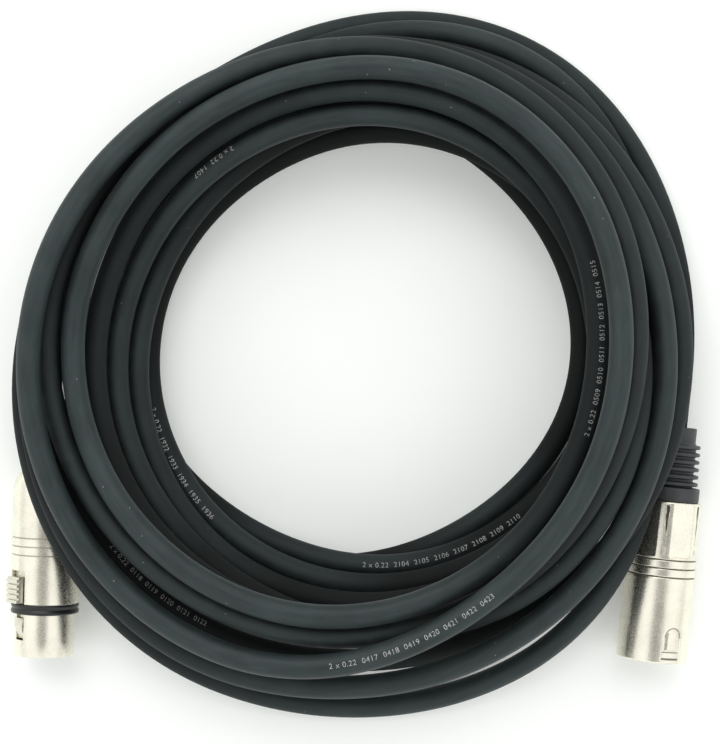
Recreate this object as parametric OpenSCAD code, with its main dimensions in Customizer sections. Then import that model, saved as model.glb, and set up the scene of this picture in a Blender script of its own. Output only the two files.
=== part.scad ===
// Microphone cable, wound by hand into a loose coil, with a female and a male three-pole connector.
// The coil lies on the floor, z = 0 is the floor and the origin is under the middle of the whole part.
// Each connector is drawn along its own z axis, from its rear (z = 0) to its front.

/* [Cable] */
// Diameter of the jacket
cable_d = 6.2; // [5.6:0.1:6.6]
// Least air between strands that lie on each other
strand_gap = 0.8; // [0.7:0.1:1.2]
// Bending radius of a strand where it climbs over what lies under it
hump_r = 100; // [80:10:150]
// Diameter of an insulated conductor
conductor_d = 1.5; // [1:0.1:1.6]
// Diameter of the bare screen wire
screen_d = 1.1; // [0.8:0.1:1.6]

/* [Connectors] */
// Distance from the connector's axis to each contact
contact_r = 3.8; // [3.7:0.05:3.9]
// Diameter of a pin
pin_d = 2.4; // [2.2:0.05:2.6]
// Length of a pin in front of its insert
pin_len = 13.5; // [11:0.5:15]
// Outer diameter of a solder cup
cup_d = 3; // [2.9:0.1:3.2]
// Length of a solder cup
cup_len = 4.5; // [4:0.1:4.8]
// Bore of the rear of each shell, which takes the boot's spigot
rear_bore_d = 12.8; // [12.4:0.1:13.2]
// Diameter of the chamber in which the wires are soldered
chamber_d = 15.2; // [14.6:0.1:15.6]
// Air between pieces that fit in each other, on each side
fit = 0.1; // [0.05:0.01:0.15]

/* [Boots] */
// Length of a boot behind its shell
boot_len = 20; // [18:0.5:24]
// Length of a boot's spigot inside the shell
spigot_len = 5; // [4:0.1:5.5]
// Length of the smooth collar next to the shell
collar_len = 3.9; // [3:0.1:5]
// Diameter of the collar on the male side
male_collar_d = 16.4; // [15.6:0.1:17]
// Diameter of the collar on the female side
female_collar_d = 13.6; // [13.2:0.1:14]
// Diameter over the ribs
rib_d = 15.2; // [14:0.1:16]
// Diameter of the boot between the ribs
rib_core_d = 12.2; // [11:0.1:13]
// Number of ribs
ribs = 6; // [4:1:7]
// Thickness of a rib
rib_w = 1; // [0.8:0.1:1.2]
// Diameter of the end collar, where the cable comes out
end_d = 11.6; // [11:0.1:12.4]
// Length of the end collar
end_len = 4.1; // [3:0.1:5]

/* [Male shell] */
// Length of the male shell
male_len = 43; // [42:0.5:46]
// Diameter of the male shell
male_d = 18.8; // [18.6:0.1:19.4]
// Depth of the cavity in front of the pins' insert
cavity_depth = 16; // [15.5:0.1:17]
// Bore of the cavity, which takes the nose of a female connector
cavity_d = 16.5; // [16.3:0.1:16.8]
// Turn of the key from straight up, towards +X
male_turn = 22; // [0:1:40]
// Distance of the first grip groove from the rear of the shell
male_groove_z = 15.2; // [14.5:0.1:16]
// Depth of the grip flats at the rear of the male shell
flat_depth = 0.5; // [0.3:0.05:0.6]
// Width of a grip flat
flat_w = 5.6; // [5:0.1:6.4]

/* [Female shell] */
// Length of the female shell with its nose
female_len = 49; // [48.5:0.5:51]
// Diameter of the female shell
female_d = 18.4; // [18.2:0.1:19]
// Diameter of the nose
nose_d = 16; // [15.9:0.05:16.1]
// Length of the nose
nose_len = 11.5; // [11:0.1:12]
// Bore of the nose
nose_bore_d = 13.8; // [13.6:0.1:14]
// Width of the rubber ring
ring_w = 2.7; // [2:0.1:3]
// Outer diameter of the rubber ring
ring_d = 18.3; // [18:0.1:18.6]
// Diameter of the seat under the rubber ring
ring_seat_d = 14.8; // [14.6:0.1:15.2]
// Radius of the rounded rear edge, across the axis
shoulder_r = 2.2; // [1.5:0.1:2.4]
// Length of the rounded rear edge, along the axis
shoulder_len = 6; // [4:0.5:8]
// Turn of the latch from straight up, towards -X
female_turn = 46; // [30:1:60]
// Distance of the first grip groove from the rear of the shell
female_groove_z = 16.9; // [15:0.1:18]
// Bore of a socket
socket_bore_d = 2.5; // [2.45:0.05:2.6]
// Outer diameter of a socket
socket_d = 3.6; // [3.4:0.1:3.8]
// Depth of a socket's bore
socket_depth = 12; // [11:0.5:12]

/* [Grip grooves] */
// Distance between grip grooves
groove_pitch = 2.3; // [2:0.1:2.6]
// Width of a grip groove
groove_w = 0.4; // [0.3:0.05:0.6]
// Depth of a grip groove
groove_depth = 0.35; // [0.2:0.05:0.5]

/* [Latch] */
// Width of the thumb pad
pad_w = 5.2; // [4.6:0.1:5.4]
// Length of the thumb pad
pad_len = 6.9; // [6:0.1:7]
// Height of the thumb pad above the shell
pad_proud = 1.7; // [1:0.1:2]
// Number of ridges on the thumb pad
pad_ridges = 5; // [3:1:6]
// Width of the hook
hook_w = 2.8; // [2.4:0.1:3]
// Height of the hook above the nose
hook_proud = 0.6; // [0.4:0.1:0.8]
// Diameter of the pivot pin
pivot_d = 1.2; // [1:0.1:1.3]

/* [Hidden] */
$fn = 64;

// ---- the coil ----
// Reach of each turn from the middle of the coil, every 60 degrees counterclockwise, as it was wound,
// from the male connector to the female one. The turns before the last are whole.
TURNS = [
    [86, 97, 85.5, 89.5, 94.5, 92.5],   // outermost turn, over the rear of the female connector
    [78, 93.5, 80.5, 83, 84, 80],
    [84, 87, 79.5, 86.5, 90, 82],
    [78.5, 84, 80.5, 81.5, 73, 68.5],
    [69, 80.5, 80.5, 85, 84, 67],       // the turn that lies on top
    [64.5, 74.5, 74, 74.5, 68, 61.5],
    [60.5, 69.5, 69.5, 70, 69, 65.5],
    [62, 64.5, 63.5, 65, 66.5, 73.5],
    [71.5, 70.5, 60.5, 60, 63.5, 65],
    [67.5, 64, 59, 58, 58.5, 62],
    [69.5, 75, 66.5, 64, 54.5, 58],
    [66, 69, 69, 73.5, 60, 53.5],
    [60, 64.5, 76, 84.5, 85.5]          // runs down to the female connector, under all the others
];
// Place of each turn in the pile: a turn lies over those with a lower number.
LAYERS = [0, 2, 3, 4, 12.5, 14, 13, 12, 11, 10, 9, 8, -1];
coil_middle = [1.4, 1];
coil_start = -5;
coil_end = 12 * 360 + 180;
step = 5;             // degrees between the points at which the pile is worked out
steps_per_ring = 3;   // 24 rings a turn
tube_sides = 6;
turn_change = 200;    // bearing at which one turn ends and the next begins
knot_step = 60;
passes = 16;          // rounds in which the pile settles
bridge_h = 10;        // highest step that a strand bridges
ease = 3;             // points on each side over which a turn's reach is evened out
free_points = 6;      // points next to a connector that its own body doesn't lift

REACH = [for (turn = TURNS) each turn];
points = (coil_end - coil_start) / step + 1;
function knot(i) = REACH[max(0, min(len(REACH) - 1, i))];
function spline(a, b, c, d, t) =
    b + t * (c - a + t * (2 * a - 5 * b + 4 * c - d + t * (3 * (b - c) + d - a))) / 2;
function reach(angle) =
    let (u = angle / knot_step, i = floor(u))
    spline(knot(i - 1), knot(i), knot(i + 1), knot(i + 2), u - i);
function sum(list, i = 0) = i == len(list) ? 0 : list[i] + sum(list, i + 1);
function mean(list) = sum(list) / len(list);
function bearing(i) = coil_start + step * i;
function clip(i) = max(0, min(points - 1, i));
function even_reach(i) = mean([for (o = [-ease:ease]) reach(bearing(clip(i + o)))]);
function plan(r, i) = coil_middle + r * [cos(bearing(i)), sin(bearing(i))];
function layer(i) = LAYERS[max(0, min(len(LAYERS) - 1, floor((bearing(i) - turn_change) / 360) + 1))];

// Height that a connector lying under point p asks for, or 0 where p is clear of it.
function over(p, tip, dir, axis_h, parts, room) =
    let (along = (p - tip) * dir, foot = tip + max(0, min(parts[len(parts) - 1][0], along)) * dir,
         off = norm(p - foot), r = lookup(along, parts) + room)
    off < r ? axis_h + sqrt(r * r - off * off) : 0;

// What each point rests on: [index of the lower point, height above it].
function lower(r, i) = [
    for (k = [-len(TURNS):len(TURNS)], j = [i + k * 360 / step])
        if (k != 0 && j >= 0 && j < points && layer(j) < layer(i)
            && abs(r[i] - r[j]) < cable_d + strand_gap)
            [j, sqrt(pow(cable_d + strand_gap, 2) - pow(r[i] - r[j], 2))]
];
function lifted(z, floor_z, under) =
    [for (i = [0:points - 1]) max([floor_z[i], for (u = under[i]) z[u[0]] + u[1]])];
function bridged(z, pace, reach_n) = [
    for (i = [0:points - 1])
        max([for (o = [max(-reach_n, -i):min(reach_n, points - 1 - i)])
            z[i + o] - pow(o * pace, 2) / (2 * hump_r)])
];
function settled(z, floor_z, under, pace, reach_n, n) =
    n == 0 ? z
    : settled(bridged(lifted(z, floor_z, under), pace, reach_n), floor_z, under, pace, reach_n, n - 1);

function coil_points() =
    let (
        r = [for (i = [0:points - 1]) even_reach(i)],
        xy = [for (i = [0:points - 1]) plan(r[i], i)],
        room = cable_d / 2 + strand_gap,
        floor_z = [for (i = [0:points - 1])
            max(cable_d / 2,
                i < 2 ? male_h : i < free_points ? 0
                    : over(xy[i], male_tip, male_dir, male_h, male_parts, room),
                i > points - 3 ? female_h : i > points - 1 - free_points ? 0
                    : over(xy[i], female_tip, female_dir, female_h, female_parts, room))],
        under = [for (i = [0:points - 1]) lower(r, i)],
        pace = mean(r) * step * PI / 180,
        reach_n = ceil(sqrt(2 * hump_r * bridge_h) / pace),
        z = settled(floor_z, floor_z, under, pace, reach_n, passes)
    )
    [for (i = [0:points - 1]) [xy[i].x, xy[i].y,
        i == 0 ? male_h : i == points - 1 ? female_h
            : mean([for (o = [-2:2]) z[clip(i + o)]])]];

function coil_rings(p) = concat(
    [[male_join.x, male_join.y, male_h]],
    [for (i = [0:steps_per_ring:points - 2]) p[i]],
    [p[points - 1], [female_join.x, female_join.y, female_h]]
);

// Least air between the coil's own strands, measured between points on its rings' middles and between them.
function between(c, i) =
    let (k = min(floor(i / 3), len(c) - 2), t = i / 3 - k) c[k] * (1 - t) + c[k + 1] * t;
function least_gap(c) =
    let (fine = [for (i = [0:(len(c) - 1) * 3]) between(c, i)], n = len(fine), lap = 360 / step)
    min([for (i = [0:n - 1], k = [1:len(TURNS)], o = [-4:4])
        let (j = i + k * lap + o) if (j < n) norm(fine[i] - fine[j])]) - cable_d;
function run_length(c) = sum([for (i = [1:len(c) - 1]) norm(c[i] - c[i - 1])]);

// A tube of so many sides along points, with a corner at the bottom of each ring. A tube that runs
// upright takes the direction across its bends.
function tangent(c, i) =
    let (a = c[max(0, i - 1)], b = c[min(len(c) - 1, i + 1)]) (b - a) / norm(b - a);
function ring(c, i, d, sides, across) =
    let (t = tangent(c, i), flat = is_undef(across) ? [t.y, -t.x, 0] : across,
         side = flat / norm(flat), top = cross(side, t))
    [for (k = [0:sides - 1])
        c[i] + d / 2 * (cos(270 + 360 * k / sides) * side + sin(270 + 360 * k / sides) * top)];
module tube(c, d, sides, across) {
    n = len(c);
    polyhedron(
        points = [for (i = [0:n - 1]) each ring(c, i, d, sides, across)],
        faces = concat(
            [for (i = [0:n - 2], k = [0:sides - 1]) each
                let (a = i * sides + k, b = i * sides + (k + 1) % sides)
                [[a, b, a + sides], [b, b + sides, a + sides]]],
            [for (k = [1:sides - 2]) [0, k + 1, k]],
            [for (k = [1:sides - 2]) (n - 1) * sides * [1, 1, 1] + [0, k, k + 1]]
        ),
        convexity = 10
    );
}

// ---- where the connectors lie ----
lead_out = 4.2;                 // cable between a boot's end and the coil's first straight
male_lean = 6.1;                // degrees that the male connector's front leans towards -X
female_lean = 1.5;
male_h = male_d / 2;            // a connector lies on the floor on its shell
female_h = female_d / 2;
male_dir = [sin(male_lean), cos(male_lean)];         // from the front to the rear
female_dir = [sin(female_lean), cos(female_lean)];
male_total = male_len + boot_len;
female_total = female_len + boot_len;
male_end = plan(even_reach(0), 0);
female_end = plan(even_reach(points - 1), points - 1);
male_join = male_end - cable_d * male_dir;
female_join = female_end - cable_d * female_dir;
male_tip = male_join - (lead_out + male_total) * male_dir;
female_tip = female_join - (lead_out + female_total) * female_dir;
// radius along each connector, from its tip: shell, boot and lead
male_parts = [[0, male_d / 2], [male_len, male_d / 2], [male_len + 0.1, rib_d / 2],
    [male_total, end_d / 2], [male_total + 0.1, cable_d / 2], [male_total + lead_out + cable_d, cable_d / 2]];
female_parts = [[0, female_d / 2], [female_len, female_d / 2], [female_len + 0.1, rib_d / 2],
    [female_total, end_d / 2], [female_total + 0.1, cable_d / 2],
    [female_total + lead_out + cable_d, cable_d / 2]];

// From a connector's own frame to where it lies.
module lay(tip, lean, h, len, turn) {
    translate([tip.x, tip.y, h])
        rotate([90, 0, -lean])
            translate([0, 0, -len])
                rotate([0, 0, turn])
                    children();
}
module at_male() {
    lay(male_tip, male_lean, male_h, male_len, -male_turn) children();
}
module at_female() {
    lay(female_tip, female_lean, female_h, female_len, female_turn) children();
}

// ---- inside both connectors ----
CONTACT_ANGLES = [0, 180, 270];    // bearings of contacts 1, 2 and 3 round the axis, with the key at 90
chuck_d = 10.4;
chuck_back = -3;                   // rear end of the chuck's jaws, inside the boot
chuck_flange = 2.5;
jacket_end = spigot_len + chuck_flange + 0.5;
chamber_z = spigot_len + chuck_flange + 0.5;       // the shell's chamber begins where the chuck's flange ends
male_insert_front = male_len - cavity_depth;
chamber_share = 9 / 19;            // part of the room behind the cavity that the solder chamber takes
male_insert_z = chamber_z + (male_insert_front - chamber_z) * chamber_share;
female_insert_z = 24;
socket_front = female_len - 1.4;
face_recess = 0.6;                 // the female insert's face lies this far inside the nose
key_w = 2;
key_in = contact_r + 1.9;          // inner side of the key, from the axis
key_len = 6;
contact_fit = 0.05;
pin_root_d = pin_d + 0.8;          // a pin is thicker inside its insert

function at_contact(k) = contact_r * [cos(CONTACT_ANGLES[k]), sin(CONTACT_ANGLES[k])];

// Solder cup in front of which a contact goes on: it ends at z = 0.
module solder_cup() {
    difference() {
        translate([0, 0, -cup_len])
            cylinder(d = cup_d, h = cup_len);
        translate([0, 0, -cup_len - 1])
            cylinder(d = conductor_d + 0.4, h = cup_len);
        translate([0, -cup_d, -cup_len - 1])
            cube([cup_d, 2 * cup_d, cup_len - 0.5]);
    }
}

// Insulated or bare wire from the jacket's end into the cup of contact k.
module wire(k, d, cup_z) {
    dir = at_contact(k) / contact_r;
    near = 1.6;
    room = cup_z - cup_len - jacket_end;
    p = [near, near, contact_r, contact_r];
    z = [jacket_end, jacket_end + 0.25 * room, jacket_end + 0.8 * room, cup_z - 1.2];
    tube([for (i = [0:3]) [p[i] * dir.x, p[i] * dir.y, z[i]]], d, 8, [dir.y, -dir.x, 0]);
}

// Slotted collet that grips the jacket. Its flange lies between the boot's spigot and the chamber.
module chuck() {
    jaw_slot = 1.2;
    difference() {
        union() {
            translate([0, 0, chuck_back])
                cylinder(d = chuck_d, h = spigot_len - chuck_back);
            translate([0, 0, spigot_len])
                cylinder(d = rear_bore_d - 2 * fit, h = chuck_flange);
        }
        translate([0, 0, chuck_back - 1])
            cylinder(d = cable_d + 2 * fit, h = spigot_len + chuck_flange - chuck_back + 2);
        for (a = [0, 90])
            rotate([0, 0, a])
                translate([-jaw_slot / 2, -chuck_d, chuck_back - 1])
                    cube([jaw_slot, 2 * chuck_d, spigot_len - chuck_back]);
    }
}

// Ribbed boot with its spigot, collar, ribs and end collar.
module boot(collar_d) {
    rib_zone = boot_len - collar_len - end_len;
    rib_pitch = rib_zone / ribs;
    round = 1.2;
    difference() {
        union() {
            rotate_extrude()
                polygon([
                    [0, -boot_len], [end_d / 2 - round, -boot_len], [end_d / 2, -boot_len + round],
                    [end_d / 2, -boot_len + end_len], [rib_core_d / 2, -boot_len + end_len + 0.5],
                    [rib_core_d / 2, -collar_len], [collar_d / 2 - 0.4, -collar_len],
                    [collar_d / 2, -collar_len + 0.5], [collar_d / 2, 0],
                    [rear_bore_d / 2 - fit, 0], [rear_bore_d / 2 - fit, spigot_len], [0, spigot_len]
                ]);
            for (i = [0:ribs - 1])
                translate([0, 0, -boot_len + end_len + (i + 0.5) * rib_pitch - rib_w / 2])
                    cylinder(d = rib_d - 0.12 * (ribs - i), h = rib_w);
        }
        translate([0, 0, -boot_len - 1])
            cylinder(d = cable_d + 2 * fit, h = boot_len + spigot_len + 2);
        translate([0, 0, chuck_back - 0.2])
            cylinder(d = chuck_d + 2 * fit, h = spigot_len - chuck_back + 1);
    }
}

// Straight end of the cable: from the jacket's end, through chuck and boot, to the coil.
module lead() {
    translate([0, 0, -boot_len - lead_out])
        cylinder(d = cable_d, h = boot_len + lead_out + jacket_end);
}

module grip_grooves(d, first) {
    for (i = [0:2])
        translate([0, 0, first + i * groove_pitch])
            difference() {
                cylinder(d = d + 1, h = groove_w);
                translate([0, 0, -1])
                    cylinder(d = d - 2 * groove_depth, h = groove_w + 2);
            }
}

// ---- male connector ----
module male_shell() {
    edge = 0.4;
    color([0.78, 0.76, 0.68])
        difference() {
            rotate_extrude()
                polygon([
                    [rear_bore_d / 2, 0], [male_d / 2 - edge, 0], [male_d / 2, edge],
                    [male_d / 2, male_len - edge], [male_d / 2 - edge, male_len],
                    [cavity_d / 2 + edge, male_len], [cavity_d / 2, male_len - edge],
                    [cavity_d / 2, male_insert_z], [chamber_d / 2, male_insert_z],
                    [chamber_d / 2, chamber_z], [rear_bore_d / 2, chamber_z]
                ]);
            grip_grooves(male_d, male_groove_z);
            grip_flats();
            latch_mark();
        }
}

// Flats round the rear of the male shell, each with a round end.
module grip_flats() {
    flats = 6;
    flat_len = male_groove_z - 2.5;
    for (i = [0:flats - 1])
        rotate([0, 0, 90 + i * 360 / flats])
            translate([male_d / 2 - flat_depth, 0, -1])
                rotate([90, 0, 90])
                    linear_extrude(height = 2)
                        union() {
                            translate([-flat_w / 2, 0])
                                square([flat_w, flat_len + 1 - flat_w / 2]);
                            translate([0, flat_len + 1 - flat_w / 2])
                                circle(d = flat_w);
                        }
}

// Arched mark over the catch for the latch, with the two cross grooves near the rim.
module latch_mark() {
    mark_w = 5.4;
    mark_len = 8.6;
    mark_depth = 0.3;
    from_rim = 1.2;
    translate([0, male_d / 2 - mark_depth, male_len - from_rim])
        rotate([-90, 0, 0])
            linear_extrude(height = 2)
                union() {
                    translate([-mark_w / 2, 2])
                        square([mark_w, mark_len - 2 - mark_w / 2]);
                    translate([0, mark_len - mark_w / 2])
                        circle(d = mark_w);
                    translate([-mark_w / 2, 0])
                        square([mark_w, 0.5]);
                }
}

module male_insert() {
    disc_d = cavity_d - 2 * fit;
    color([0.1, 0.1, 0.11])
        difference() {
            union() {
                translate([0, 0, male_insert_z])
                    cylinder(d = disc_d, h = male_insert_front - male_insert_z);
                translate([-key_w / 2, key_in, male_insert_front - 1])
                    cube([key_w, 1, key_len + 1]);
            }
            for (k = [0:2])
                translate([at_contact(k).x, at_contact(k).y, male_insert_z - 1])
                    cylinder(d = pin_root_d + 2 * contact_fit, h = male_len);
            ground_slot(male_insert_z, disc_d, male_slot_depth);
        }
}

module male_pin(k) {
    tip = 1;
    root_len = male_insert_front - male_insert_z;
    color([0.86, 0.84, 0.78])
        translate([at_contact(k).x, at_contact(k).y, male_insert_z])
            rotate([0, 0, CONTACT_ANGLES[k]])
                union() {
                    solder_cup();
                    rotate_extrude()
                        polygon([
                            [0, 0], [pin_root_d / 2, 0], [pin_root_d / 2, root_len],
                            [pin_d / 2, root_len], [pin_d / 2, root_len + pin_len - tip],
                            [pin_d / 2 - 0.25, root_len + pin_len - 0.3],
                            [pin_d / 2 - 0.7, root_len + pin_len], [0, root_len + pin_len]
                        ]);
                }
}

// ---- ground contact: a bent strip in a slot of the insert, which bears on the shell ----
strip_w = 2.4;
strip_t = 0.4;
strip_len = 6;
male_slot_depth = (cavity_d - chamber_d) / 2 + 0.75;   // the strip's tail clears the chamber's wall
female_slot_depth = 1;
module ground_slot(z, disc_d, depth) {
    translate([-strip_w / 2 - fit, -disc_d, z - 1])
        cube([strip_w + 2 * fit, disc_d / 2 + depth, strip_len + 1 + fit]);
}
module ground_contact(z, disc_d, bore_d, depth) {
    inner = disc_d / 2 - depth + fit;
    outer = sqrt(pow(bore_d / 2, 2) - pow(strip_w / 2, 2)) - 0.02;
    color([0.85, 0.78, 0.55])
        translate([-strip_w / 2, 0, z])
            rotate([90, 0, 90])
                linear_extrude(height = strip_w)
                    polygon([
                        [-inner, -2], [-inner, strip_len], [-inner - strip_t, strip_len],
                        [-outer, strip_len / 2 + 0.4], [-outer, strip_len / 2 - 0.4],
                        [-inner - strip_t, 0], [-inner - strip_t, -2]
                    ]);
}

// ---- female connector ----
nose_z = female_len - nose_len;             // rear of the nose, front of the rubber ring
ring_z = nose_z - ring_w;                   // rear of the rubber ring
step_z = ring_z - 0.8;                      // where the bore narrows to the nose's
body_bore_d = chamber_d + 0.6;
window_z = ring_z - 8.9;
window_w = pad_w + 0.8;
slot_w = hook_w + 0.4;
hook_z = nose_z + 1;
hook_len = 5.6;
hook_window_end = hook_z + hook_len + 0.4;
pivot_z = window_z + 1;
pivot_y = nose_bore_d / 2 + 0.1;            // the pivot lies just inside the shell's wall
pivot_len = 2 * (sqrt(pow(body_bore_d / 2, 2) - pow(pivot_y, 2)) + 0.8);
latch_pocket = contact_r + 0.6;             // floor of the insert's pocket under the latch, from the axis
lever_t = 1.2;
lever_top = body_bore_d / 2 - 0.2;

module female_shell() {
    edge = 0.3;
    arc = 8;
    color([0.78, 0.76, 0.68])
        difference() {
            rotate_extrude()
                polygon(concat(
                    [[rear_bore_d / 2, 0]],
                    [for (i = [0:arc]) let (a = 90 * i / arc)
                        [female_d / 2 - shoulder_r * (1 - sin(a)), shoulder_len * (1 - cos(a))]],
                    [
                        [female_d / 2, ring_z], [ring_seat_d / 2, ring_z], [ring_seat_d / 2, nose_z],
                        [nose_d / 2, nose_z], [nose_d / 2, female_len - edge],
                        [nose_d / 2 - edge, female_len], [nose_bore_d / 2, female_len],
                        [nose_bore_d / 2, step_z], [body_bore_d / 2, step_z],
                        [body_bore_d / 2, chamber_z], [rear_bore_d / 2, chamber_z]
                    ]
                ));
            grip_grooves(female_d, female_groove_z);
            translate([-window_w / 2, 0, window_z])
                cube([window_w, female_d, ring_z - window_z]);
            translate([-slot_w / 2, 0, step_z - 0.1])
                cube([slot_w, female_d, hook_window_end - step_z + 0.1]);
            translate([0, pivot_y, pivot_z])
                rotate([0, 90, 0])
                    cylinder(d = pivot_d + 2 * contact_fit, h = pivot_len + 2 * fit, center = true);
        }
}

module female_ring() {
    lip = ring_w / 3;
    color([0.06, 0.06, 0.07])
        rotate_extrude()
            union() {
                translate([ring_seat_d / 2, ring_z])
                    square([(ring_d - ring_seat_d) / 2 - lip / 2, ring_w]);
                for (z = [ring_z + lip / 2, ring_z + ring_w - lip / 2])
                    translate([ring_d / 2 - lip / 2, z])
                        circle(d = lip);
            }
}

module female_insert() {
    face_z = female_len - face_recess;
    flange_len = 4.5;
    body_d = nose_bore_d - 2 * fit;
    flange_d = body_bore_d - 2 * fit;
    color([0.1, 0.1, 0.11])
        difference() {
            union() {
                translate([0, 0, female_insert_z])
                    cylinder(d = body_d, h = face_z - female_insert_z);
                translate([0, 0, step_z - flange_len])
                    cylinder(d = flange_d, h = flange_len);
            }
            for (k = [0:2])
                translate([at_contact(k).x, at_contact(k).y, 0]) {
                    translate([0, 0, female_insert_z - 1])
                        cylinder(d = socket_d + 2 * contact_fit, h = socket_front - female_insert_z + 1);
                    cylinder(d = socket_bore_d + 0.4, h = female_len);
                }
            translate([-window_w / 2, latch_pocket, female_insert_z - 1])
                cube([window_w, female_d, step_z - female_insert_z + 1]);
            translate([-slot_w / 2, latch_pocket, female_insert_z - 1])
                cube([slot_w, female_d, female_len]);
            ground_slot(female_insert_z, body_d, female_slot_depth);
        }
}

module female_socket(k) {
    slit = 0.4;
    slit_len = 6;
    color([0.86, 0.84, 0.78])
        translate([at_contact(k).x, at_contact(k).y, 0])
            rotate([0, 0, CONTACT_ANGLES[k]])
                difference() {
                    union() {
                        translate([0, 0, female_insert_z])
                            solder_cup();
                        translate([0, 0, female_insert_z])
                            cylinder(d = socket_d, h = socket_front - female_insert_z);
                    }
                    translate([0, 0, socket_front - socket_depth])
                        cylinder(d = socket_bore_d, h = socket_depth + 1);
                    translate([-socket_d, -slit / 2, socket_front - slit_len])
                        cube([2 * socket_d, slit, slit_len + 1]);
                }
}

// ---- latch ----
module latch_pin() {
    color([0.7, 0.7, 0.7])
        translate([0, pivot_y, pivot_z])
            rotate([0, 90, 0])
                cylinder(d = pivot_d, h = pivot_len, center = true);
}

module latch_lever() {
    pad_z = ring_z - 0.4 - pad_len;
    pad_top = female_d / 2 + pad_proud;
    stem_top = ring_seat_d / 2 - 0.2;
    stem_bottom = stem_top - 1;
    plate_bottom = pivot_y - lever_t / 2 - 0.2;
    plate_end = step_z - 0.3;
    hook_top = nose_d / 2 + hook_proud;
    ridge = pad_len / pad_ridges;
    rear = window_z + fit;
    color([0.72, 0.71, 0.65])
        difference() {
            union() {
                // plate with the thumb pad, seen from the side
                rotate([90, 0, 90])
                    translate([0, 0, -pad_w / 2])
                        linear_extrude(height = pad_w)
                            polygon(concat(
                                [
                                    [pivot_y - 1, rear], [plate_bottom, pivot_z + 0.8],
                                    [plate_bottom, plate_end], [lever_top, plate_end],
                                    [lever_top + 0.3, pad_z + pad_len]
                                ],
                                [for (i = [0:pad_ridges - 1]) each [
                                    [pad_top, pad_z + pad_len - i * ridge],
                                    [pad_top, pad_z + pad_len - (i + 0.55) * ridge],
                                    [pad_top - 0.6, pad_z + pad_len - (i + 0.7) * ridge],
                                    [pad_top - 0.6, pad_z + pad_len - (i + 1) * ridge]
                                ]],
                                [[lever_top, pad_z], [lever_top, rear]]
                            ));
                // stem under the rubber ring, with the hook
                rotate([90, 0, 90])
                    translate([0, 0, -hook_w / 2])
                        linear_extrude(height = hook_w)
                            polygon([
                                [stem_bottom, plate_end - 1], [stem_bottom, hook_z + hook_len],
                                [stem_top, hook_z + hook_len], [hook_top, hook_z + 2.2],
                                [hook_top, hook_z], [stem_top, hook_z], [stem_top, plate_end - 1]
                            ]);
            }
            translate([0, pivot_y, pivot_z])
                rotate([0, 90, 0])
                    cylinder(d = pivot_d + 2 * contact_fit, h = pad_w + 2, center = true);
        }
}

// Leaf spring: bears on the pocket's floor and lifts the lever.
module latch_spring() {
    t = 0.25;
    spring_w = 3;
    low = latch_pocket + 0.05;
    high = pivot_y - lever_t / 2 - 0.25;
    z0 = pivot_z + 1.5;
    z1 = step_z - 0.8;
    color([0.8, 0.8, 0.8])
        rotate([90, 0, 90])
            translate([0, 0, -spring_w / 2])
                linear_extrude(height = spring_w)
                    polygon([
                        [low, z0], [low, z0 + 2], [high - t, z1], [high, z1],
                        [high, z1 - 0.6], [low + t, z0 + 2 - 0.3], [low + t, z0]
                    ]);
}

// ---- nodes ----
module cable_coil() {
    rings = coil_rings(coil_points());
    echo(turns = (coil_end - coil_start) / 360, coil_length = run_length(rings),
        least_gap = least_gap(rings), highest = max([for (p = rings) p.z]) + cable_d / 2);
    color([0.16, 0.17, 0.18])
        tube(rings, cable_d, tube_sides);
}
module cable_lead() {
    color([0.16, 0.17, 0.18])
        lead();
}
module rubber_boot(collar_d) {
    color([0.13, 0.14, 0.15])
        boot(collar_d);
}
module metal_chuck() {
    color([0.5, 0.5, 0.52])
        chuck();
}
module red_wire(cup_z) {
    color([0.7, 0.1, 0.1])
        wire(1, conductor_d, cup_z);
}
module white_wire(cup_z) {
    color([0.9, 0.9, 0.88])
        wire(2, conductor_d, cup_z);
}
module screen_wire(cup_z) {
    color([0.75, 0.5, 0.35])
        wire(0, screen_d, cup_z);
}

cable_coil();
at_male() cable_lead();  // male_lead
at_female() cable_lead();  // female_lead
at_male() male_shell();
at_male() male_insert();
at_male() male_pin(0);  // male_pin_1
at_male() male_pin(1);  // male_pin_2
at_male() male_pin(2);  // male_pin_3
at_male() ground_contact(male_insert_z, cavity_d - 2 * fit, cavity_d, male_slot_depth);  // male_ground_contact
at_male() metal_chuck();  // male_chuck
at_male() rubber_boot(male_collar_d);  // male_boot
at_male() red_wire(male_insert_z);  // male_red_wire
at_male() white_wire(male_insert_z);  // male_white_wire
at_male() screen_wire(male_insert_z);  // male_screen_wire
at_female() female_shell();
at_female() female_ring();
at_female() female_insert();
at_female() female_socket(0);  // female_socket_1
at_female() female_socket(1);  // female_socket_2
at_female() female_socket(2);  // female_socket_3
at_female() ground_contact(female_insert_z, nose_bore_d - 2 * fit, body_bore_d, female_slot_depth);  // female_ground_contact
at_female() metal_chuck();  // female_chuck
at_female() rubber_boot(female_collar_d);  // female_boot
at_female() red_wire(female_insert_z);  // female_red_wire
at_female() white_wire(female_insert_z);  // female_white_wire
at_female() screen_wire(female_insert_z);  // female_screen_wire
at_female() latch_lever();
at_female() latch_spring();
at_female() latch_pin();
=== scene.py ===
"""Coiled microphone cable with a female and a male three-pole connector: looks, cable, light and camera."""

import math

import bpy
import bmesh
import numpy as np
from bpy.props import FloatProperty, FloatVectorProperty, IntProperty, PointerProperty
from mathutils import Matrix, Vector


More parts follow.
